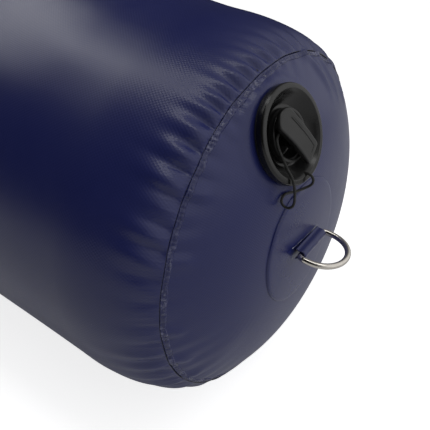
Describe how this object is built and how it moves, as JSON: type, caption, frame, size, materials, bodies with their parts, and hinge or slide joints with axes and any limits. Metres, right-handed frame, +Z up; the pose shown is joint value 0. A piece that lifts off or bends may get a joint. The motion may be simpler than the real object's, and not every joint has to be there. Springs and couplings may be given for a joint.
{
  "type": "pneumatic fender",
  "caption": "inflatable cylindrical fender of coated cloth with domed ends, a screw-cap air valve with a tethered cap, and a hinged D-ring on a round patch on each end",
  "frame": {"origin": "on the floor under the middle of the fender, which lies on its flat underside", "axes": "+X along the tube to the end with the valve, +Y to the left seen from the rear end looking at the valve end, +Z up"},
  "size_m": [1.1273, 0.4074, 0.3784],
  "materials": {
    "navy_cloth": "PVC-coated polyester cloth, navy, satin, with a fine woven texture",
    "navy_tape": "the same coated cloth as welded tape, patch and strap",
    "black_plastic": "moulded black plastic, semi-gloss",
    "black_rubber": "black rubber, matte",
    "stainless_steel": "polished stainless steel wire",
    "spring_steel": "plain stainless spring wire"
  },
  "bodies": {
    "fender": {"tube_skin": "navy_cloth", "tube_joint_tape": "navy_tape", "front_disc": "navy_cloth", "front_seam_tape": "navy_tape", "front_ring_patch": "navy_tape", "front_ring_strap": "navy_tape", "valve_body": "black_plastic", "valve_gasket": "black_rubber", "valve_back_nut": "black_plastic", "valve_core": "black_plastic", "valve_spring": "spring_steel", "rear_disc": "navy_cloth", "rear_seam_tape": "navy_tape", "rear_ring_patch": "navy_tape", "rear_ring_strap": "navy_tape"},
    "front_ring": {"front_d_ring": "stainless_steel"},
    "rear_ring": {"rear_d_ring": "stainless_steel"},
    "cap_swivel": {"tether_swivel": "black_plastic", "tether_cord": "black_rubber", "cap_seal": "black_rubber"},
    "cap": {"valve_cap": "black_plastic"},
    "poppet": {"valve_poppet": "black_rubber"}
  },
  "joints": [
    {"name": "front_ring_swing", "type": "hinge", "parent": "fender", "child": "front_ring", "pos_m": [0.53083, -0.025, 0.16999], "axis": [0, 1, 0], "range_deg": [-92, 80]},
    {"name": "rear_ring_swing", "type": "hinge", "parent": "fender", "child": "rear_ring", "pos_m": [-0.55955, 0, 0.17], "axis": [0, 1, 0], "range_deg": [0, 172]},
    {"name": "cap_lift", "type": "slide", "parent": "fender", "child": "cap_swivel", "axis": [0.9383, -0.1265, 0.3219], "range_m": [0, 0.0045]},
    {"name": "cap_turn", "type": "hinge", "parent": "cap_swivel", "child": "cap", "pos_m": [0.50851, -0.04404, 0.26618], "axis": [0.9383, -0.1265, 0.3219], "range_deg": [0, 540]},
    {"name": "poppet_press", "type": "slide", "parent": "fender", "child": "poppet", "axis": [-0.9383, 0.1265, -0.3219], "range_m": [0, 0.0045], "stiffness_N_per_m": 300, "springref_m": -0.004, "deforming": ["valve_spring"]}
  ],
  "couplings": [
    {"joint": "cap_turn", "follows": "cap_lift", "rad_per_m": 2094.4}
  ]
}
